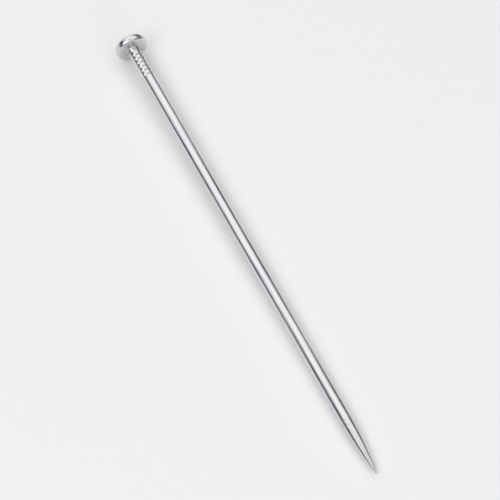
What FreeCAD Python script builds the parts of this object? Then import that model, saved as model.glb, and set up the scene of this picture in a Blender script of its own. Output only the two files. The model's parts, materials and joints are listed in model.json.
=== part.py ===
import FreeCAD, Part
import math
import os

import Sketcher
from FreeCAD import Vector

# A dressmaker's straight pin. It is one piece: hard drawn wire, cut to length, gripped between two
# dies while one end is struck flat into a head, and ground to a long point at the other end.
#
# Millimetres, +Z up. The pin lies as it does on a table, with +X running from head to point: the
# rim of the head touches the table, and so does the shoulder where the point begins. The origin
# is on the table, under the middle of the pin.
# The features are drawn in the pin's own frame: its X axis is the centre line of the wire, and
# its origin is the seat, where the underside of the head would meet the wire without the neck.

doc = FreeCAD.newDocument("straight_pin")

# Driving dimensions, in millimetres and degrees

SIZES = (
    ("pin_length", 26.0, "from the top of the crown to the end of the point"),
    ("wire_diameter", 0.6, "the drawn wire"),
    ("head_diameter", 1.5, "across the rim of the head"),
    ("head_height", 0.46, "from the seat to the top of the crown"),
    ("crown_rise", 0.07, "how far the top of the head would bulge with a sharp rim"),
    ("underside_slope", 10.0, "how far the underside leans back from square to the wire"),
    ("rim_round", 0.12, "radius of the two rounded edges of the rim"),
    ("neck_round", 0.1, "radius of the flare where the wire enters the head"),
    ("point_length", 3.2, "the ground part of the wire"),
    ("tip_radius", 0.03, "the very end of the point"),
    ("grip_start", 0.45, "from the seat to the first grip mark"),
    ("grip_pitch", 0.24, "from one grip mark to the next"),
    ("grip_count", 6, "grip marks on each side"),
    ("grip_depth", 0.025, "a grip mark at its deepest"),
    ("grip_round", 0.06, "radius of the bottom of a grip mark"),
    ("grip_shift", 0.06, "how far off centre a grip mark is cut, so that its ends fade out"),
)

sheet = doc.addObject("Spreadsheet::Sheet", "sizes")
for row, (alias, value, meaning) in enumerate(SIZES, start=1):
    sheet.set(f"A{row}", alias)
    sheet.set(f"B{row}", str(value))
    sheet.set(f"C{row}", meaning)
    sheet.setAlias(f"B{row}", alias)
doc.recompute()


def size(alias):
    """A driving dimension, as the sheet has it."""
    return float(sheet.get(alias))


# Sketches of half an outline, in the body's XZ plane: x runs along the wire, y away from it

START, END, CENTRE = range(1, 4)  # the points of a line or an arc
X_AXIS, Y_AXIS = range(-1, -3, -1)  # a sketch's own axes: the centre line, and the seat's line
SEAT = (X_AXIS, START)  # the crossing of those two


def point(place):
    return Part.Point(Vector(*place, 0))


def line(start, end):
    return Part.LineSegment(Vector(*start, 0), Vector(*end, 0))


def circle(centre, radius):
    return Part.Circle(Vector(*centre, 0), Vector(0, 0, 1), radius)


def arc(centre, radius, start_angle, end_angle):
    return Part.ArcOfCircle(circle(centre, radius), start_angle, end_angle)


def origin_feature(body, role):
    """One of the body's own origin planes or axes."""
    return next(feature for feature in body.Origin.OriginFeatures if feature.Role == role)


def outline(body, name, shapes, relations, dimensions, guides=()):
    """A sketch whose relations have no size and whose dimensions follow the sheet.

    A dimension is a name, its expression, and the values of the constraint that it drives.
    Guides are the shapes that only help to place the others.
    """
    sketch = body.newObject("Sketcher::SketchObject", name)
    sketch.AttachmentSupport = [(origin_feature(body, "XZ_Plane"), "")]
    sketch.MapMode = "FlatFace"
    sketch.addGeometry(shapes)
    for guide in guides:
        sketch.setConstruction(guide, True)
    for relation in relations:
        sketch.addConstraint(Sketcher.Constraint(*relation))
    for label, expression, constraint in dimensions:
        index = sketch.addConstraint(Sketcher.Constraint(*constraint))
        sketch.renameConstraint(index, label)
        sketch.setExpression(f"Constraints.{label}", expression)
    doc.recompute()
    if not sketch.FullyConstrained:
        raise RuntimeError(f"sketch {name} can still move")
    return sketch


def turned(body, kind, name, sketch, axis="H_Axis"):
    """A sketch turned right round the centre line, or round a guide of its own."""
    feature = body.newObject(kind, name)
    feature.Profile = sketch
    feature.ReferenceAxis = (sketch, [axis])
    feature.Angle = 360
    doc.recompute()
    return feature


pin = doc.addObject("PartDesign::Body", "straight_pin")
pin.Label = "straight_pin"

# The wire with its ground point: a plain cylinder, then a pointed arch that leaves the cylinder
# without a corner and closes on a tiny ball

wire_radius = size("wire_diameter") / 2
tip_radius = size("tip_radius")
seat_to_end = size("pin_length") - size("head_height")
plain_length = seat_to_end - size("point_length")
arch_reach = size("point_length") - tip_radius
arch_radius = (arch_reach**2 / (wire_radius - tip_radius) + wire_radius + tip_radius) / 2
arch_centre = (plain_length, wire_radius - arch_radius)
arch_turn = math.atan2(arch_radius - wire_radius, arch_reach)

cut_end, cylinder, arch, ball, core = range(5)
wire_outline = outline(
    pin,
    "wire_outline",
    [
        line((0, 0), (0, wire_radius)),
        line((0, wire_radius), (plain_length, wire_radius)),
        arc(arch_centre, arch_radius, arch_turn, math.pi / 2),
        arc((seat_to_end - tip_radius, 0), tip_radius, 0, arch_turn),
        line((seat_to_end, 0), (0, 0)),
    ],
    [
        ("Coincident", cut_end, START, *SEAT),
        ("Coincident", core, END, *SEAT),
        ("Vertical", cut_end),
        ("Horizontal", cylinder),
        ("Coincident", cut_end, END, cylinder, START),
        ("Tangent", cylinder, END, arch, END),
        ("Tangent", arch, START, ball, END),
        ("Coincident", ball, START, core, START),
        ("PointOnObject", ball, CENTRE, X_AXIS),
        ("PointOnObject", ball, START, X_AXIS),
    ],
    [
        (
            "wire_radius",
            "sizes.wire_diameter / 2",
            ("DistanceY", cut_end, START, cut_end, END, wire_radius),
        ),
        (
            "plain_length",
            "sizes.pin_length - sizes.head_height - sizes.point_length",
            ("DistanceX", cylinder, START, cylinder, END, plain_length),
        ),
        (
            "seat_to_end",
            "sizes.pin_length - sizes.head_height",
            ("DistanceX", core, END, core, START, seat_to_end),
        ),
        ("tip_radius", "sizes.tip_radius", ("Radius", ball, tip_radius)),
    ],
)
wire = turned(pin, "PartDesign::Revolution", "wire_and_point", wire_outline)

# The head, struck from the end of the wire: a flare at the neck, an underside that leans back a
# little, a straight rim with rounded edges, and a low dome on top

head_radius = size("head_diameter") / 2
slope = math.radians(size("underside_slope"))
neck_round = size("neck_round")
neck_centre = (neck_round * (1 - math.sin(slope)) / math.cos(slope), wire_radius + neck_round)
neck_touch = (
    neck_centre[0] - neck_round * math.cos(slope),
    neck_centre[1] - neck_round * math.sin(slope),
)

rim_round = size("rim_round")
rounding_radius = head_radius - rim_round
rim_bottom = -(rim_round + (rounding_radius - wire_radius) * math.sin(slope)) / math.cos(slope)
rim_touch = (
    rim_bottom + rim_round * math.cos(slope),
    rounding_radius + rim_round * math.sin(slope),
)

crown_rise = size("crown_rise")
crown_radius = (head_radius**2 + crown_rise**2) / (2 * crown_rise)
crown_top = -size("head_height")
crown_centre = crown_top + crown_radius
crown_turn = math.asin(rounding_radius / (crown_radius - rim_round))
rim_top = crown_centre - (crown_radius - rim_round) * math.cos(crown_turn)

core, neck_wall, neck, underside, low_round, rim, high_round, crown, seat_corner = range(9)
head_outline = outline(
    pin,
    "head_outline",
    [
        line((crown_top, 0), (neck_centre[0], 0)),
        line((neck_centre[0], 0), (neck_centre[0], wire_radius)),
        arc(neck_centre, neck_round, math.pi + slope, 1.5 * math.pi),
        line(neck_touch, rim_touch),
        arc((rim_bottom, rounding_radius), rim_round, slope, math.pi / 2),
        line((rim_bottom, head_radius), (rim_top, head_radius)),
        arc((rim_top, rounding_radius), rim_round, math.pi / 2, math.pi - crown_turn),
        arc((crown_centre, 0), crown_radius, math.pi - crown_turn, math.pi),
        point((0, wire_radius)),
    ],
    [
        ("PointOnObject", core, START, X_AXIS),
        ("PointOnObject", core, END, X_AXIS),
        ("Coincident", core, END, neck_wall, START),
        ("Coincident", neck_wall, END, neck, END),
        ("Vertical", neck_wall),
        ("Vertical", neck, CENTRE, neck, END),
        ("Tangent", neck, START, underside, START),
        ("Tangent", underside, END, low_round, START),
        ("Tangent", low_round, END, rim, START),
        ("Horizontal", rim),
        ("Tangent", rim, END, high_round, START),
        ("Equal", low_round, high_round),
        ("Tangent", high_round, END, crown, START),
        ("Coincident", crown, END, core, START),
        ("PointOnObject", crown, CENTRE, X_AXIS),
        ("PointOnObject", seat_corner, START, Y_AXIS),
        ("Horizontal", seat_corner, START, neck, END),
        ("PointOnObject", seat_corner, START, underside),
    ],
    [
        (
            "wire_radius",
            "sizes.wire_diameter / 2",
            ("DistanceY", neck_wall, START, neck_wall, END, wire_radius),
        ),
        ("neck_round", "sizes.neck_round", ("Radius", neck, neck_round)),
        ("rim_round", "sizes.rim_round", ("Radius", low_round, rim_round)),
        (
            "underside_angle",
            "90 deg + sizes.underside_slope * 1 deg",
            ("Angle", X_AXIS, START, underside, START, math.pi / 2 + slope),
        ),
        (
            "head_radius",
            "sizes.head_diameter / 2",
            ("DistanceY", *SEAT, rim, START, head_radius),
        ),
        (
            "head_height",
            "sizes.head_height",
            ("DistanceX", core, START, *SEAT, size("head_height")),
        ),
        (
            "crown_radius",
            "((sizes.head_diameter / 2)^2 + sizes.crown_rise^2) / (2 * sizes.crown_rise)",
            ("Radius", crown, crown_radius),
        ),
    ],
    guides=[seat_corner],
)
head = turned(pin, "PartDesign::Revolution", "head", head_outline)

# The marks of the two gripping dies, a row of fine bites on each side of the wire. A ring with a
# round section cuts each one, and it is a little off centre, so the bite is deepest in its middle
# and fades out at both ends.

grip_start = size("grip_start")
grip_round = size("grip_round")
grip_shift = size("grip_shift")
grip_away = wire_radius + grip_round - size("grip_depth")

section, ring_axis = range(2)
grip_outline = outline(
    pin,
    "grip_outline",
    [
        circle((grip_start, grip_away), grip_round),
        line((0, -grip_shift), (grip_start, -grip_shift)),
    ],
    [
        ("Horizontal", ring_axis),
        ("PointOnObject", ring_axis, START, Y_AXIS),
        ("Vertical", ring_axis, END, section, CENTRE),
    ],
    [
        ("grip_round", "sizes.grip_round", ("Radius", section, grip_round)),
        ("grip_start", "sizes.grip_start", ("DistanceX", *SEAT, section, CENTRE, grip_start)),
        (
            "grip_away",
            "sizes.wire_diameter / 2 + sizes.grip_round - sizes.grip_depth",
            ("DistanceY", *SEAT, section, CENTRE, grip_away),
        ),
        ("grip_shift", "sizes.grip_shift", ("DistanceY", ring_axis, END, *SEAT, grip_shift)),
    ],
    guides=[ring_axis],
)
grip = turned(pin, "PartDesign::Groove", "grip_mark", grip_outline, "Axis0")

other_side = pin.newObject("PartDesign::Mirrored", "other_side")
other_side.MirrorPlane = (origin_feature(pin, "XY_Plane"), [""])
grip_row = pin.newObject("PartDesign::LinearPattern", "grip_row")
grip_row.Direction = (origin_feature(pin, "X_Axis"), [""])
grip_row.Mode = "Spacing"
grip_row.setExpression("Offset", "sizes.grip_pitch")
grip_row.setExpression("Occurrences", "sizes.grip_count")
grips = pin.newObject("PartDesign::MultiTransform", "grip_marks")
grips.Originals = [grip]
grips.Transformations = [other_side, grip_row]
pin.Tip = grips

# How the pin lies. Seen from the side, the table is the line that touches two circles from below:
# the low rounding of the rim, and the arch of the point, which is much larger. The tilt is the
# angle between that line and the centre line of the pin.

slope = "(sizes.underside_slope * 1 deg)"
rounding_away = "(sizes.head_diameter / 2 - sizes.rim_round)"
rounding_along = (
    f"(-(sizes.rim_round + ({rounding_away} - sizes.wire_diameter / 2) * sin({slope})) / cos({slope}))"
)
arch_along = "(sizes.pin_length - sizes.head_height - sizes.point_length)"
arch_radius = (
    "(((sizes.point_length - sizes.tip_radius)^2 / (sizes.wire_diameter / 2 - sizes.tip_radius)"
    " + sizes.wire_diameter / 2 + sizes.tip_radius) / 2)"
)
apart = f"({arch_along} - {rounding_along})"
above = f"({rounding_away} + {arch_radius} - sizes.wire_diameter / 2)"
tilt = f"(acos(({arch_radius} - sizes.rim_round) / hypot({above}; {apart})) - atan({apart} / {above}))"

crown_radius = "(((sizes.head_diameter / 2)^2 + sizes.crown_rise^2) / (2 * sizes.crown_rise))"
head_end = f"(({crown_radius} - sizes.head_height) * cos({tilt}) - {crown_radius})"
ball_along = "(sizes.pin_length - sizes.head_height - sizes.tip_radius)"
point_end = f"({ball_along} * cos({tilt}) + sizes.tip_radius)"
height = f"{rounding_along} * sin({tilt}) + {rounding_away} * cos({tilt}) + sizes.rim_round"

pin.Placement = FreeCAD.Placement(Vector(), FreeCAD.Rotation(Vector(0, 1, 0), 1))
pin.setExpression("Placement.Rotation.Angle", tilt)
pin.setExpression("Placement.Base.x", f"-({head_end} + {point_end}) / 2")
pin.setExpression("Placement.Base.z", height)
doc.recompute()

# Nothing is written unless every feature holds and the die marks really cut the wire

for item in doc.Objects:
    if "Invalid" in item.State or "Error" in item.State:
        raise RuntimeError(f"{item.Label} has failed: {item.State}")
volumes = [feature.Shape.Volume for feature in (wire, head, grip, grips)]
if not volumes[0] < volumes[1] > volumes[2] > volumes[3]:
    raise RuntimeError(f"a feature adds or cuts nothing: {volumes}")
if pin.Shape.isNull() or not pin.Shape.isValid() or len(pin.Shape.Solids) != 1:
    raise RuntimeError("the pin isn't one sound solid")

os.makedirs("parts", exist_ok=True)
pin.Shape.exportStep(f"parts/{pin.Label}.step")
lean = math.degrees(pin.Placement.Rotation.Angle)
print(f"{pin.Label}: {pin.Shape.Volume:.3f} cubic mm, leaning {lean:.4f} degrees")
print(f"seat at {pin.Placement.Base}, plain wire from {neck_centre[0]:.4f} to {plain_length:.4f} mm")
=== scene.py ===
# %% [markdown]
# # A dressmaker's pin, lying on a pale table
# A straight pin is one piece of hard steel wire. One end is struck flat into a head, the other is
# ground to a long point, and the two dies that held it each leave a row of fine bites under the
# head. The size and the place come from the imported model, which is loaded first and stays fixed.
# Blender adds what the solid lacks: a smoother skin, the finish of the steel, and the light.

# %% Load the fixed frame
import json
import math

import bpy
from mathutils import Matrix, Vector


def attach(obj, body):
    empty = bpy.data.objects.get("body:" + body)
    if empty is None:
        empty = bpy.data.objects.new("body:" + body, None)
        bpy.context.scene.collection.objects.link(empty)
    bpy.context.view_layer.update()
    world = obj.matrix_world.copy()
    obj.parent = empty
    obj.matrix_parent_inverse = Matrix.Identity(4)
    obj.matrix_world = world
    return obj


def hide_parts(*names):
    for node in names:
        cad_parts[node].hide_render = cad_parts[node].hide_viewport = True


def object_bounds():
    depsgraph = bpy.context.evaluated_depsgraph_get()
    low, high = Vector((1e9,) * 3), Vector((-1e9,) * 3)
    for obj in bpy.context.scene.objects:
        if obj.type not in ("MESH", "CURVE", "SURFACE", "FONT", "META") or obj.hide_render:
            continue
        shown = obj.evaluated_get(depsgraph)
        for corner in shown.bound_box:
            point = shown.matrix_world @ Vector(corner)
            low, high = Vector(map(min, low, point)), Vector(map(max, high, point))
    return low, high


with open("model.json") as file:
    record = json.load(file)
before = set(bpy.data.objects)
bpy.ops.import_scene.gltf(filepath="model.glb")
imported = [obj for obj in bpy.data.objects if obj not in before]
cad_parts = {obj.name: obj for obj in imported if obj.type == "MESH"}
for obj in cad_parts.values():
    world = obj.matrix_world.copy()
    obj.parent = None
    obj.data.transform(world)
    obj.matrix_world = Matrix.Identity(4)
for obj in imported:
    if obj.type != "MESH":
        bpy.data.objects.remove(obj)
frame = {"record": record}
cad_low, cad_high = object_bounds()
scene = bpy.context.scene
MM = 0.001
print("the solid spans", [round(span / MM, 3) for span in cad_high - cad_low], "mm")

# %% [markdown]
# ## The pin's own frame
# The pin doesn't lie level: its head is wider than the wire, so the wire leans down towards the
# point. Everything on it is easier to say in a frame of its own, with X along the middle of the
# wire and the origin where the head sits. The lean could be worked out again from the sizes, but
# the model's mounts already give that place, that direction and the two radii.

# %% Read the seat, the axis and the radii
mounts = {mount["name"]: mount for mount in frame["record"]["mounts"]}
head_mount, wire_mount = mounts["under_head"], mounts["shank"]
seat = Vector(head_mount["pos_m"])
along = Vector(head_mount["axis"]).normalized()
side = Vector((0, 1, 0))
directions = Matrix((along, side, along.cross(side))).transposed()
own_frame = Matrix.Translation(seat) @ directions.to_4x4()
wire_radius = wire_mount["dims"]["r_mm"] * MM
head_radius = head_mount["dims"]["r_mm"] * MM
print(f"wire {2 * wire_radius / MM:.2f} mm, head {2 * head_radius / MM:.2f} mm across")

# %% [markdown]
# ## The outline
# A pin is turned about one line, so half its outline says everything but the bites. It could be
# drawn as a curve with a screw modifier. Points from arcs and lines are chosen here, because each
# stretch then gets as many rings as it needs: many on the small roundings, few on the plain wire.

# %% The sizes of the head and the point
pin_length = 26.0 * MM
head_height = 0.46 * MM
crown_rise = 0.07 * MM
underside_slope = math.radians(10)
rim_round = 0.12 * MM
neck_round = 0.1 * MM
point_length = 3.2 * MM
tip_radius = 0.03 * MM

seat_to_end = pin_length - head_height
plain_end = seat_to_end - point_length
point_reach = point_length - tip_radius
arch_radius = (point_reach**2 / (wire_radius - tip_radius) + wire_radius + tip_radius) / 2
print(f"the point is an arch of {arch_radius / MM:.1f} mm radius, from {plain_end / MM:.2f} mm on")


# %% Points along an arc and along a line
def arc(centre, radius, start, end, steps):
    """Points of the outline, as places along the wire and away from it, without the last one."""
    made = []
    for step in range(steps):
        bend = start + (end - start) * step / steps
        made.append((centre[0] + radius * math.cos(bend), centre[1] + radius * math.sin(bend)))
    return made


def line(start, end, steps):
    """Evenly spaced points from start, without the last one."""
    shares = [step / steps for step in range(steps)]
    return [tuple(near + (far - near) * share for near, far in zip(start, end)) for share in shares]


half_turn, quarter_turn = math.pi, math.pi / 2
tried = arc((0, 0), 1, 0, quarter_turn, 3)
print("a quarter turn in 3 steps:", [(round(x, 2), round(y, 2)) for x, y in tried])

# %% [markdown]
# ## The head
# The crown is a low dome, the rim is straight with rounded edges, and the underside leans back a
# little before it flares into the wire. A squashed ball would look much like it. Arcs keep the
# sizes exact, and each meets the next without a corner, as on metal that has flowed in a die.

# %% Where the head's arcs have their middles
slope_cos, slope_sin = math.cos(underside_slope), math.sin(underside_slope)
rounding = head_radius - rim_round
neck = (neck_round * (1 - slope_sin) / slope_cos, wire_radius + neck_round)
low_rim = -(rim_round + (rounding - wire_radius) * slope_sin) / slope_cos
crown_radius = (head_radius**2 + crown_rise**2) / (2 * crown_rise)
crown_centre = crown_radius - head_height
crown_turn = math.asin(rounding / (crown_radius - rim_round))
high_rim = crown_centre - (crown_radius - rim_round) * math.cos(crown_turn)
print(f"the crown is part of a ball of {crown_radius / MM:.1f} mm radius")

# %% Outline of the head
CROWN_RINGS, RIM_RINGS, UNDERSIDE_RINGS, ROUNDING_RINGS = 16, 4, 8, 10
crown = arc((crown_centre, 0), crown_radius, half_turn, half_turn - crown_turn, CROWN_RINGS)
crown += arc((high_rim, rounding), rim_round, half_turn - crown_turn, quarter_turn, ROUNDING_RINGS)
rim = line((high_rim, head_radius), (low_rim, head_radius), RIM_RINGS)
underside = arc((low_rim, rounding), rim_round, quarter_turn, underside_slope, ROUNDING_RINGS)
rim_touch = (low_rim + rim_round * slope_cos, rounding + rim_round * slope_sin)
neck_touch = (neck[0] - neck_round * slope_cos, neck[1] - neck_round * slope_sin)
underside += line(rim_touch, neck_touch, UNDERSIDE_RINGS)
underside += arc(neck, neck_round, half_turn + underside_slope, 3 * quarter_turn, ROUNDING_RINGS)
print(f"{len(crown)} rings on the crown, {len(rim)} on the rim, {len(underside)} under the head")

# %% [markdown]
# ## The bites of the gripping dies
# Each die bites the wire with a row of fine teeth. A tooth leaves a groove that is deepest in
# the middle of its side and fades out round the wire. It is worked out as the cut of a ring with
# a round section, a little off centre, which is how a real tooth is ground. The steel that it
# pushes away stands up as a low lip on each side. Teeth wear, so no two bites are quite as deep.
# Cutting with a boolean would leave slivers, so the rings of the mesh are moved in and out instead.

# %% Sizes of the bites
bite_start = 0.45 * MM
bite_pitch = 0.24 * MM
bite_count = 6
bite_depth = 0.025 * MM
tooth_radius = 0.06 * MM
tooth_shift = 0.06 * MM
lip_height = 0.003 * MM
lip_off = 0.056 * MM
lip_width = 0.018 * MM
bites = [bite_start + number * bite_pitch for number in range(bite_count)]
print(f"{bite_count} bites, from {bites[0] / MM:.2f} to {bites[-1] / MM:.2f} mm under the head")

# %% How far in they go
UPPER_WEAR = (0.0, 0.06, 0.02, 0.13, 0.05, 0.16)
LOWER_WEAR = (0.09, 0.01, 0.15, 0.04, 0.0, 0.11)
ring_radius = wire_radius + tooth_radius - bite_depth + tooth_shift


def bitten(place, turn):
    """How far the skin of the wire is from its middle at this place along it and turn round it."""
    nearest = min(range(bite_count), key=lambda number: abs(place - bites[number]))
    off = abs(place - bites[nearest])
    facing = abs(math.sin(turn))
    lip = lip_height * facing**2 * math.exp(-(((off - lip_off) / lip_width) ** 2))
    if off >= tooth_radius:
        return wire_radius + lip
    reach = ring_radius - math.sqrt(tooth_radius**2 - off**2)
    rise = facing * tooth_shift
    cut = math.sqrt(reach**2 - tooth_shift**2 + rise**2) - rise
    worn = bite_depth * (UPPER_WEAR if math.sin(turn) > 0 else LOWER_WEAR)[nearest]
    return min(wire_radius + lip, cut + worn)


depths = [wire_radius - bitten(bite, quarter_turn) for bite in bites]
print(f"they are {min(depths) / MM:.3f} to {max(depths) / MM:.3f} mm deep on top")

# %% [markdown]
# ## The wire and its point
# Below the bites the wire is plain. Then it is ground down to the point in one long low arch, as
# on a church window, and ends in a tiny ball, because a truly sharp tip would bend at once. A cone
# would be simpler, but it would leave an edge where it meets the wire.

# %% Outline of the wire and the point
NECK_RINGS, RINGS_PER_BITE, PLAIN_RINGS, ARCH_RINGS, TIP_RINGS = 6, 20, 40, 48, 8
bite_from, bite_to = bites[0] - bite_pitch / 2, bites[-1] + bite_pitch / 2
bitten_wire = line((neck[0], wire_radius), (bite_from, wire_radius), NECK_RINGS)
bitten_wire += line((bite_from, wire_radius), (bite_to, wire_radius), RINGS_PER_BITE * bite_count)
plain_wire = line((bite_to, wire_radius), (plain_end, wire_radius), PLAIN_RINGS)
arch_centre = (plain_end, wire_radius - arch_radius)
arch_end = math.atan2(arch_radius - wire_radius, point_reach)
point = arc(arch_centre, arch_radius, quarter_turn, arch_end, ARCH_RINGS)
point += arc((seat_to_end - tip_radius, 0), tip_radius, arch_end, 0, TIP_RINGS)
print(f"{len(bitten_wire)} rings where it is bitten, {len(plain_wire)} where it is plain")
print(f"{len(point)} rings on the point")

# %% [markdown]
# ## What isn't quite round
# A struck head is never quite round, so its rings wander by a few thousandths of a millimetre,
# and that wander fades out at the neck. Where the two dies met, a ridge finer than a hair runs
# down each side of the bitten wire. Noise could push the points about, but two slow waves and one
# ridge say just what is meant.

# %% The wander of the head and the seam of the dies
oval, oval_turn = 0.005, 0.6
three_sided, three_turn = 0.003, 2.1
seam_height = 0.006 * MM
seam_width = 0.02 * MM


def out_of_round(place, turn):
    """How much wider or narrower than round the struck head is at this turn, as a factor."""
    fade = min(1, max(0, -place / head_height))
    waves = oval * math.sin(2 * turn + oval_turn) + three_sided * math.sin(3 * turn + three_turn)
    return 1 + fade * waves


def seam(place, turn):
    """How far the ridge between the dies stands out, which ends where the bites end."""
    away = math.asin(min(1, abs(math.sin(turn)))) * wire_radius
    fade = min(1, max(0, (bite_to - place) / bite_pitch))
    return seam_height * fade * math.exp(-((away / seam_width) ** 2))


def skin_radius(place, away, turn):
    """How far the skin is from the middle of the wire here, with every mark of the dies."""
    if neck[0] < place < plain_end:
        return bitten(place, turn) + seam(place, turn)
    return away * out_of_round(place, turn)


widest = max(out_of_round(-head_height, math.radians(degree)) for degree in range(360))
print(f"the head is {100 * (widest - 1):.1f} percent wider than round at its widest")
print(f"the seam stands {seam(bites[0], 0) / MM:.3f} mm proud")

# %% [markdown]
# ## The skin
# The outline is turned into rings of points, with one point closing each end. A screw modifier
# gives every ring the same round shape, but here the shape changes with the turn, so each point is
# worked out by itself. A number kept on each point says how much it lies in a hollow: in a bite,
# or towards the corner under the head. Polishing doesn't reach well in there, and the finish reads
# that number for a rougher surface and for painted shade, with some brown stain, in those hollows.

# %% Turn the outline into rings of points
SIDES = 96
outline = crown + rim + underside + bitten_wire + plain_wire + point
stations = outline + [(seat_to_end, 0)]
corner_reach = 0.48 * MM


def turn_of(number):
    """The turn at which a point lies on its ring. The first is underneath, out of sight."""
    return 2 * math.pi * number / SIDES - quarter_turn


def hollow(place, radius):
    """0 on open skin, and up to 1 in a bite or in the corner under the head."""
    from_corner = math.hypot(place, radius - wire_radius)
    under_head = max(0, 1 - from_corner / corner_reach) ** 2
    bite = (wire_radius - radius) / bite_depth if neck[0] < place < plain_end else 0
    return min(1.0, max(0.0, under_head, bite))


points, hollows = [(-head_height, 0, 0)], [0.0]
for place, away in outline[1:]:
    for turn in map(turn_of, range(SIDES)):
        radius = skin_radius(place, away, turn)
        points.append((place, radius * math.cos(turn), radius * math.sin(turn)))
        hollows.append(hollow(place, radius))
points.append((seat_to_end, 0, 0))
hollows.append(0.0)
print(f"{len(points)} points on {len(outline) - 1} rings")

# %% [markdown]
# ## A flat map of the skin
# The finish is worked out from places in space and needs no map. Another program can't do that,
# so an export paints the finish into a picture, and there the map counts. Blender's own map would
# lay so long and thin a piece in narrow strips. This one is cut as listed: a disc for the crown and
# one for the underside, and the wire in four lengths, each rolled out flat and stretched to fill
# its band.

# %% Charts
rim_end = len(crown) + len(rim)
neck_start = rim_end + len(underside)
plain_start = neck_start + len(bitten_wire)
plain_half = plain_start + len(plain_wire) // 2
point_start = plain_start + len(plain_wire)
gap = 0.004
disc, hole = 0.12, 0.048
discs = {
    "crown": (0, rim_end, (0.125, 0.83), 0.0, disc),
    "underside": (rim_end, neck_start, (0.375, 0.83), disc, hole),
}
bands = {
    "bitten": (neck_start, plain_start, (0.5, 0.67), (1.0, 1.0)),
    "plain_near": (plain_start, plain_half, (0.0, 0.44), (1.0, 0.66)),
    "plain_far": (plain_half, point_start, (0.0, 0.22), (1.0, 0.44)),
    "point": (point_start, len(stations) - 1, (0.0, 0.0), (1.0, 0.22)),
}
walked = [0.0]
for near, far in zip(stations, stations[1:]):
    walked.append(walked[-1] + math.dist(near, far))
print(f"{walked[-1] / MM:.1f} mm from the crown to the tip, over the skin")


# %% Places on the map
def share_of(first, last, station):
    """How far along a chart a station lies, measured over the skin."""
    return (walked[station] - walked[first]) / (walked[last] - walked[first])


def on_map(station, number, face_station):
    """The place on the map of a ring's point, for the face that starts at face_station."""
    for first, last, centre, start, end in discs.values():
        if first <= face_station < last:
            radius = start + (end - start) * share_of(first, last, station)
            turn = turn_of(number) * (-1 if end > start else 1)
            return centre[0] + radius * math.cos(turn), centre[1] + radius * math.sin(turn)
    for first, last, low, high in bands.values():
        if first <= face_station < last:
            across, up = share_of(first, last, station), 1 - number / SIDES
            wide, tall = high[0] - low[0] - 2 * gap, high[1] - low[1] - 2 * gap
            return low[0] + gap + wide * across, low[1] + gap + tall * up


middle_of_point = on_map(point_start + ARCH_RINGS // 2, SIDES // 2, point_start)
print("half-way down the arch is at", [round(share, 3) for share in middle_of_point], "on the map")

# %% [markdown]
# ## Faces
# Each ring is joined to the next with four-sided faces, and the two end points with triangles.
# Bridging the rings in edit mode would give the same faces. Here every corner of a face also takes
# its place on the map as the face is made, and an end point takes one half-way between the others.

# %% Join the rings
final = len(stations) - 1
last_point = len(points) - 1


def point_at(station, number):
    """The number of a point in the mesh, by its station along the outline and its turn."""
    if station == 0:
        return 0
    return last_point if station == final else 1 + (station - 1) * SIDES + number % SIDES


faces, places = [], []
for station in range(final):
    for number in range(SIDES):
        corners = [(station, number), (station, number + 1)]
        corners += [(station + 1, number + 1), (station + 1, number)]
        if station == 0:
            corners = [(0, number + 0.5)] + corners[2:]
        if station == final - 1:
            corners = corners[:2] + [(final, number + 0.5)]
        faces.append([point_at(at, int(turned)) for at, turned in corners])
        places += [on_map(at, turned, station) for at, turned in corners]
print(f"{len(faces)} faces with {len(places)} corners")

# %% The mesh
skin = bpy.data.meshes.new("pin_skin")
skin.from_pydata(points, [], faces)
skin.shade_smooth()
skin.attributes.new("hollow", "FLOAT", "POINT").data.foreach_set("value", hollows)
flat_map = skin.uv_layers.new(name="OFBake")
flat_map.uv.foreach_set("vector", [number for pair in places for number in pair])
skin.transform(own_frame)
pin = bpy.data.objects.new("polished_pin", skin)
scene.collection.objects.link(pin)
print(f"the mesh has {len(skin.vertices)} points and {len(skin.polygons)} faces")

# %% [markdown]
# ## A helper for shader nodes
# A finish is a tree of small nodes. It could be wired by hand in the shader editor. In a script,
# one helper makes a node, fills its inputs and links what is already made, so that the cells below
# read like a recipe. All patterns start from the place in the pin's own frame, so the lines run
# along the wire although it leans.


# %% One node at a time
def add(tree, kind, inputs=(), **settings):
    """A new node. Each input is a pair: its name or number, and a value or another's output."""
    made = tree.nodes.new(kind)
    for name, value in settings.items():
        setattr(made, name, value)
    for name, value in inputs:
        if isinstance(value, bpy.types.NodeSocket):
            tree.links.new(value, made.inputs[name])
        else:
            made.inputs[name].default_value = value
    return made


steel = bpy.data.materials.new("drawn_and_polished_steel")
steel.use_nodes = True
metal = steel.node_tree
metal.nodes.clear()
undo = [("Location", seat), ("Rotation", own_frame.to_euler())]
in_model = add(metal, "ShaderNodeTexCoord").outputs["Object"]
to_own = add(metal, "ShaderNodeMapping", [("Vector", in_model), *undo], vector_type="TEXTURE")
own_place = to_own.outputs[0]
x_place = add(metal, "ShaderNodeSeparateXYZ", [(0, own_place)]).outputs["X"]
in_hollow = add(metal, "ShaderNodeAttribute", attribute_name="hollow").outputs["Fac"]
print(f"the pin's own frame leans by {math.degrees(own_frame.to_euler().y):.2f} degrees")


# %% Arithmetic with nodes
def ranged(value, low, high, to_low=0.0, to_high=1.0, kind="LINEAR", tree=metal):
    """The value, stretched so that low and high become to_low and to_high, and held there."""
    values = [("Value", value), (1, low), (2, high), (3, to_low), (4, to_high)]
    return add(tree, "ShaderNodeMapRange", values, interpolation_type=kind).outputs[0]


def maths(operation, first, second=0.0, tree=metal):
    """One sum, product or other step of arithmetic."""
    return add(tree, "ShaderNodeMath", [(0, first), (1, second)], operation=operation).outputs[0]


def total(*values):
    """All the values added up."""
    so_far = values[0]
    for value in values[1:]:
        so_far = maths("ADD", so_far, value)
    return so_far


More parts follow.
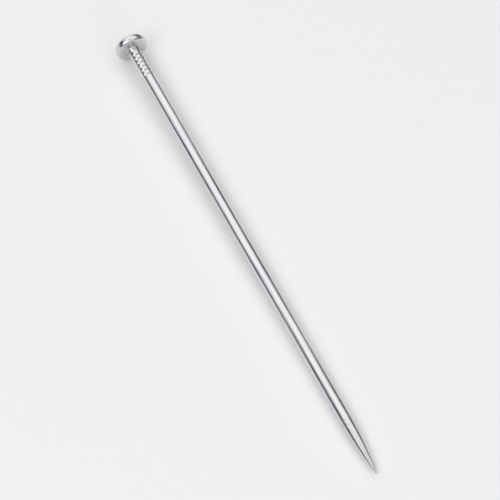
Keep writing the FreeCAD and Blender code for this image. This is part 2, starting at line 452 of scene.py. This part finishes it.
def times(value, by, tree=metal):
    """The value, made larger or smaller."""
    return maths("MULTIPLY", value, by, tree)


ground_from, ground_to = plain_end - 0.1 * MM, plain_end + 0.3 * MM
struck_from, struck_to = neck[0], -0.05 * MM
on_point = ranged(x_place, ground_from, ground_to, kind="SMOOTHSTEP")
on_head = ranged(x_place, struck_from, struck_to, kind="SMOOTHSTEP")
print(f"the ground finish starts {ground_from / MM:.2f} mm from the head")


# %% Blends of numbers and of colours
def blend(share, first, second):
    """A number between the two: the first where the share is 0, the second where it is 1."""
    return add(metal, "ShaderNodeMix", [(0, share), (2, first), (3, second)]).outputs[0]


def tint(share, first, second, tree=metal):
    """A colour between the two."""
    inputs = [(0, share), (6, first), (7, second)]
    return add(tree, "ShaderNodeMix", inputs, data_type="RGBA").outputs[2]


print(f"{len(metal.nodes)} nodes before the first pattern")

# %% [markdown]
# ## Marks that run one way
# Every step of pin making leaves marks that run one way: drawing leaves lines along the wire, and
# grinding leaves lines round the point. A photograph of brushed metal could be wrapped round the
# pin, but noise that is squeezed in one direction gives the same marks at any size. Its grain says
# how much the finer layers of the noise count. A noise uses only the middle third of its range from
# 0 to 1, from quiet to loud here, so the cells below often stretch that third.

# %% Streaks
grain = 0.6
quiet, loud = 0.35, 0.65


def streaks(length, width, detail=3.0, moved=0.0, leaning=0.0):
    """Noise drawn out along the wire to this length, and this wide round it, both in metres."""
    inputs = [("Vector", own_place), ("Scale", (length, width, width))]
    inputs += [("Location", (moved,) * 3), ("Rotation", (0, 0, leaning))]
    squeezed = add(metal, "ShaderNodeMapping", inputs, vector_type="TEXTURE")
    inputs = [("Vector", squeezed.outputs[0]), ("Scale", 1.0), ("Detail", detail)]
    noise = add(metal, "ShaderNodeTexNoise", inputs + [("Roughness", grain)])
    return noise.outputs["Fac"]


print(f"the noises have a grain of {grain} and are stretched from {quiet} to {loud}")

# %% [markdown]
# ## The drawn wire
# Hard wire is pulled through a die, which leaves fine lines that run for millimetres. They show
# as faint bright and dark threads in the highlight. Broader flats between them make the edges of
# the highlight wander a little. The tumbling drum that polishes the steel leaves a few hairline
# scratches at a slant. Drawn one by one they would need a picture, so they are made where a
# slanted noise passes its middle value. Depths are in thousandths of a millimetre, for the whole
# range from 0 to 1.

# %% Lines and flats
line_depth = 12.0
flat_depth = 16.0
fine_lines = streaks(5 * MM, 0.075 * MM)
broad_flats = streaks(8 * MM, 0.25 * MM, detail=1.0, moved=3 * MM)
drawn_height = total(times(fine_lines, line_depth), times(broad_flats, flat_depth))
print(f"{len(metal.nodes)} nodes with the drawn wire")

# %% Hairline scratches
scratch_depth = -0.5
scratch_share = 0.03
scratch_middle = 0.5
patch_edge, patch_full = 0.5, 0.6


def hairlines(leaning, moved):
    """Thin slanted scratches, 1 in the middle of one and 0 beside it, in patches here and there."""
    slanted = streaks(1.4 * MM, 0.16 * MM, detail=0.0, moved=moved, leaning=leaning)
    patches = streaks(0.9 * MM, 0.35 * MM, detail=1.0, moved=-moved)
    from_middle = maths("ABSOLUTE", total(slanted, -scratch_middle))
    scratched = ranged(from_middle, 0.0, scratch_share, 1.0, 0.0)
    return times(scratched, ranged(patches, patch_edge, patch_full))


one_way = hairlines(leaning=0.3, moved=5 * MM)
other_way = hairlines(leaning=-0.45, moved=11 * MM)
scratches = maths("MAXIMUM", one_way, other_way)
print(f"{len(metal.nodes)} nodes with the scratches")

# %% [markdown]
# ## The ground point
# The wire is rolled across a fine wheel, so the marks on the point run round it, close together.
# The wheel also leaves it very slightly wavy along its length, which breaks up the highlight. Real
# waves in the mesh would need many more rings, so both are left to the bump.

# %% Lines round the point
ground_depth = 2.4
wave_depth = 9.0
ground_lines = streaks(0.03 * MM, 0.5 * MM, detail=2.0)
ground_waves = streaks(0.24 * MM, 2 * MM, detail=1.0, moved=2 * MM)
ground_height = total(times(ground_lines, ground_depth), times(ground_waves, wave_depth))
print(f"{len(metal.nodes)} nodes with the ground point")

# %% [markdown]
# ## The struck head
# The punch leaves faint rings on the crown, from the way its own face was turned. A wave texture
# makes rings too, but a sine of the distance from the middle keeps their pitch in millimetres.
# Noise in that distance keeps them from being perfect circles. Metal that has flowed looks
# slightly pebbled, with a few small pits. The crushed steel in the bites is pebbled too.

# %% Rings from the punch
ring_pitch = 0.05 * MM
ring_depth = 0.9
ring_wander = 0.08 * MM
no_length = [(0, own_place), (1, (0, 1, 1))]
crosswise = add(metal, "ShaderNodeVectorMath", no_length, operation="MULTIPLY")
from_axis = add(metal, "ShaderNodeVectorMath", [(0, crosswise.outputs[0])], operation="LENGTH")
away_from_axis = from_axis.outputs["Value"]
uneven = times(streaks(0.4 * MM, 0.4 * MM, detail=1.0), ring_wander)
ring_phase = times(total(away_from_axis, uneven), 2 * math.pi / ring_pitch)
punch_rings = ranged(maths("SINE", ring_phase), -1.0, 1.0)
print(f"{head_radius / ring_pitch:.0f} rings from the middle of the crown to its edge")

# %% Pebbles and pits on the head
pebble_size, pebble_depth = 0.12 * MM, 7.0
pit_size, pit_depth = 0.07 * MM, -1.6
pit_edge, pit_full = 0.64, 0.74
pebbles = streaks(pebble_size, pebble_size, detail=4.0)
pebble_height = times(pebbles, pebble_depth)
pits = ranged(streaks(pit_size, pit_size, detail=1.0, moved=4 * MM), pit_edge, pit_full)
struck_height = total(times(punch_rings, ring_depth), pebble_height, times(pits, pit_depth))
print(f"{len(metal.nodes)} nodes with the struck head")

# %% [markdown]
# ## Height and roughness
# The marks of each zone are joined into one height. The same marks make the steel rougher where
# they are, and so do hollows that polishing doesn't reach. The ground point and the struck head
# are a little more matt than the drawn wire. The rim is the other way round: it is handled and
# rubbed most, so it is the smoothest place. Three materials could do this, but the zones would
# meet at an edge. One material that fades from zone to zone has none.

# %% Join the heights
wire_height = blend(in_hollow, drawn_height, pebble_height)
height = blend(on_head, blend(on_point, wire_height, ground_height), struck_height)
height = total(height, times(scratches, scratch_depth))
print(f"{len(metal.nodes)} nodes with the heights joined")

# %% Roughness
WIRE, GROUND, STRUCK = 0.13, 0.2, 0.2
smoothed_by_marks, roughened_by_marks = -0.06, 0.09
smoothed_by_haze, roughened_by_haze = -0.02, 0.06
haze_edge = 0.4
in_scratch, unpolished, rubbed = 0.12, 0.16, -0.07
rim_from, rim_to = head_radius - 0.1 * MM, head_radius - 0.02 * MM
marks = blend(on_head, blend(on_point, fine_lines, ground_lines), pebbles)
haze = streaks(1.7 * MM, 0.6 * MM, detail=2.0, moved=9 * MM)
on_rim = ranged(away_from_axis, rim_from, rim_to)
rough = total(
    blend(on_head, blend(on_point, WIRE, GROUND), STRUCK),
    ranged(marks, quiet, loud, smoothed_by_marks, roughened_by_marks),
    ranged(haze, haze_edge, loud, smoothed_by_haze, roughened_by_haze),
    times(scratches, in_scratch),
    times(in_hollow, unpolished),
    times(on_rim, rubbed),
)
print(f"roughness {WIRE} on the wire, {GROUND} on the point, {STRUCK} on the head, before the marks")

# %% [markdown]
# ## Colour
# Bare steel looks like one grey, but it isn't: a thin skin of oil and oxide drifts between a warm
# and a cool tint. The ground point is a little greyer, because its fine lines hide from the light.
# Hollows are painted darker and browner, a painted shade with some brown stain: the bites, the
# corner under the head, the pits and the valleys of the punch's rings, where shade would fall. One
# flat grey would do from afar, but not close up. The grey itself is the imported model's own, and
# each tint is a factor on it.

# %% Tints
slot = next(entry for entry in frame["record"]["materials"] if entry["slot"] == "bright_steel")
WARM, COOL = (1.005, 0.99, 0.995), (0.94, 0.95, 1.015)
# The last tint is the dark brown of the painted shade in the hollows, with some stain in it.
GREYER, SHADE_AND_STAIN = (0.88, 0.89, 0.91), (0.6, 0.575, 0.55)


def steel_colour(lean):
    """The slot's colour, leaning towards another tint."""
    return (*(base * share for base, share in zip(slot["base_color"], lean)), 1)


drift = ranged(streaks(2.6 * MM, 0.9 * MM, detail=1.0, moved=7 * MM), quiet, loud)
clean = tint(drift, steel_colour(WARM), steel_colour(COOL))
print("warm", [round(part, 3) for part in steel_colour(WARM)[:3]])

# %% Painted shade and stains in the hollows
# How much darker and browner each kind of hollow is painted: painted shade, with some brown stain.
grey_share, hollow_shade_and_stain, pit_painted_shade, ring_valley_painted_shade, pebble_valley_painted_shade = 0.6, 0.7, 0.3, 0.16, 0.2
valley, pebble_valley = 0.5, 0.3
# Painted shade on the struck head: the pits and the valleys of the punch's rings and of the pebbles
# are painted darker, as if shade fell in them.
struck_painted_shade = total(
    times(pits, pit_painted_shade),
    ranged(punch_rings, valley, 0.0, 0.0, ring_valley_painted_shade),
    ranged(pebbles, valley, pebble_valley, 0.0, pebble_valley_painted_shade),
)
# Painted shade with some brown stain in the bites and the corner under the head, and on the head's
# marks.
painted_shade_and_stain = maths("MAXIMUM", times(in_hollow, hollow_shade_and_stain), times(on_head, struck_painted_shade))
colour = tint(times(on_point, grey_share), clean, steel_colour(GREYER))
colour = tint(painted_shade_and_stain, colour, steel_colour(SHADE_AND_STAIN))
print("shaded_and_stained", [round(part, 3) for part in steel_colour(SHADE_AND_STAIN)[:3]])

# %% [markdown]
# ## The shader
# One Principled shader takes it all. Mixing glossy shaders could do the same, but an export keeps
# this one. A bump distance of a thousandth of a millimetre makes the heights above mean what they
# say. Metal has no other settings worth touching.

# %% Put the steel together
thousandth = 0.001 * MM
inputs = [("Height", height), ("Distance", thousandth), ("Strength", 1.0)]
bump = add(metal, "ShaderNodeBump", inputs)
inputs = [("Base Color", colour), ("Metallic", 1.0), ("Roughness", rough)]
inputs.append(("Normal", bump.outputs["Normal"]))
shader = add(metal, "ShaderNodeBsdfPrincipled", inputs)
add(metal, "ShaderNodeOutputMaterial", [("Surface", shader.outputs["BSDF"])])
skin.materials.append(steel)
print(f"the steel's finish is made of {len(metal.nodes)} nodes")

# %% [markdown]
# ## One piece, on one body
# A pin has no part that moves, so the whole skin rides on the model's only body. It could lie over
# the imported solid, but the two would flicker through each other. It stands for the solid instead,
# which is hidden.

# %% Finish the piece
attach(pin, "root")
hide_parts("straight_pin")
heights = [corner.co.z for corner in skin.vertices]
print(f"the skin lies {min(heights) / MM:.4f} mm above the table")
print(f"its highest point is {max(heights) / MM:.3f} mm above the table")

# %% [markdown]
# ## The table
# A plain pale table, large enough that its edge is never near the pin. A curved backdrop would
# hide that edge, but so close up it never comes into view. The table is matt, so it shows the
# pin's soft shadow and no reflection.

# %% Floor
table_size = 4.0
pale, matt = (0.92, 0.92, 0.92, 1), 0.9
bpy.ops.mesh.primitive_plane_add(size=table_size)
floor = bpy.context.object
floor.name = "table"
paper = bpy.data.materials.new("pale_table")
paper.use_nodes = True
paper_shader = paper.node_tree.nodes["Principled BSDF"]
paper_shader.inputs["Base Color"].default_value = pale
paper_shader.inputs["Roughness"].default_value = matt
floor.data.materials.append(paper)
print(f"the table is {table_size:.0f} m wide")

# %% [markdown]
# ## The camera
# The photograph looks down at about 53 degrees, and its lens is far away for so small a thing, so
# the wire hardly narrows with distance. A camera without perspective would come close, but a long
# lens keeps the little that there is. The pin runs from the upper left to the lower right.


# %% A direction, and a thing that looks back along it
def direction_to(azimuth, elevation):
    """The direction from the pin to a place at this azimuth and elevation, in radians."""
    level = Vector((math.sin(azimuth), -math.cos(azimuth), 0)) * math.cos(elevation)
    return level + Vector((0, 0, math.sin(elevation)))


def stand(thing, direction, away):
    """Put a camera or a lamp this far from the pin in this direction, looking at it."""
    scene.collection.objects.link(thing)
    thing.location = middle + direction * away
    thing.rotation_mode = "QUATERNION"
    thing.rotation_quaternion = (-direction).to_track_quat("-Z", "Y")


middle = (cad_low + cad_high) / 2
print("the middle of the pin is", [round(part / MM, 2) for part in middle], "mm from the origin")

# %% Camera
look_down = math.radians(53.3)
heading = math.radians(-59.7)
distance = 290 * MM
share_of_frame = 0.86
camera_azimuth = math.atan(math.tan(-heading) / math.sin(look_down))
back = direction_to(camera_azimuth, look_down)
camera = bpy.data.objects.new("camera", bpy.data.cameras.new("camera"))
stand(camera, back, distance)
scene.camera = camera
picture_up = camera.rotation_quaternion @ Vector((0, 1, 0))
pin_up = abs(along.dot(picture_up)) * pin_length
camera.data.lens = camera.data.sensor_width * distance * share_of_frame / pin_up
camera.data.clip_start = MM
print(f"azimuth {math.degrees(camera_azimuth):.1f} degrees, lens {camera.data.lens:.0f} mm")

# %% [markdown]
# ## The light
# Polished metal shows only what is around it, and in an all white room it would vanish. So the
# sky is a light tent with a dark band round its sides: that gives the wire a pale core between two
# dark edges. It darkens again straight up, for views from above. Panels could be built for all
# this, but a sky whose shade changes with height needs only a few nodes. The Standard view
# transform shows the colours as they are written.

# %% Sky
scene.view_settings.view_transform = "Standard"
world = bpy.data.worlds.new("light_tent")
world.use_nodes = True
scene.world = world
sky = world.node_tree
seen = add(sky, "ShaderNodeTexCoord").outputs["Generated"]
parts = add(sky, "ShaderNodeSeparateXYZ", [(0, seen)]).outputs
ramp = add(sky, "ShaderNodeValToRGB", [("Fac", parts["Z"])])
TENT = (
    (0.0, (0.24, 0.245, 0.26)),
    (0.2, (0.17, 0.175, 0.19)),
    (0.33, (0.06, 0.063, 0.075)),
    (0.46, (0.1, 0.105, 0.12)),
    (0.58, (0.59, 0.6, 0.625)),
    (0.7, (0.97, 0.975, 0.985)),
    (0.82, (1.24, 1.24, 1.235)),
    (0.92, (1.24, 1.24, 1.235)),
    (0.975, (0.4, 0.4, 0.41)),
)
stops = ramp.color_ramp.elements
while len(stops) < len(TENT):
    stops.new(1.0)
for stop, (up, shade) in zip(stops, TENT):
    stop.position, stop.color = up, (*shade, 1)
print(f"the sky has {len(stops)} shades from the horizon to straight up")

# %% [markdown]
# ## Cards beyond the ends
# Seen nearly end-on, the wire mirrors only the low sky beyond its ends, where the tent is dark. In
# a photo studio a pale card would stand there. It could be a lit panel, but that would brighten the
# table unevenly, so here it is a part of the sky. Each card is pale above the line of the pin and
# fades out on both sides, so the wire keeps a pale core between darker edges. The size of a
# direction's X, from 0 to 1, says how near it is to that line, and its Y divided by its Z says how
# far it leans aside.

# %% Pale cards
card_colour = (0.92, 0.925, 0.94, 1)
card_starts, card_full = 0.7, 0.85
card_pale, card_ends = 0.75, 1.6
endwise = maths("ABSOLUTE", parts["X"], tree=sky)
aside = maths("ABSOLUTE", maths("DIVIDE", parts["Y"], parts["Z"], sky), tree=sky)
near_line = ranged(endwise, card_starts, card_full, kind="SMOOTHSTEP", tree=sky)
over_line = ranged(aside, card_ends, card_pale, kind="SMOOTHSTEP", tree=sky)
on_card = times(near_line, over_line, sky)
sky_colour = tint(on_card, ramp.outputs["Color"], card_colour, sky)
sky.links.new(sky_colour, sky.nodes["Background"].inputs["Color"])
full, none = (math.degrees(math.acos(x)) for x in (card_full, card_starts))
print(f"a card is full within {full:.0f} degrees of the pin's line, and ends at {none:.0f}")

# %% [markdown]
# ## The key light
# One soft lamp brightens the table and gives the pin a soft shadow. A sun would do it too, but
# with a hard edge. A straight wire mirrors only the directions that lean as far from it as the eye
# does, which form a cone. The lamp stands outside that cone, so it doesn't burn out the wire, yet
# it glints in the bites and on the rim.

# %% Soft lamp
lamp_azimuth, lamp_elevation = math.radians(30), math.radians(45)
lamp_away, lamp_width = 400 * MM, 200 * MM
lamp_watts = 0.4
to_lamp = direction_to(lamp_azimuth, lamp_elevation)
key_light = bpy.data.lights.new("key_lamp", "AREA")
key_light.size = lamp_width
key_light.energy = lamp_watts
lamp = bpy.data.objects.new("key_lamp", key_light)
stand(lamp, to_lamp, lamp_away)
lamp.visible_camera = False
lamp_lean, cone_lean = (math.degrees(math.acos(x)) for x in (to_lamp.x, -back.x))
print(f"the lamp leans {lamp_lean:.0f} degrees from the pin, and the mirrored cone {cone_lean:.0f}")
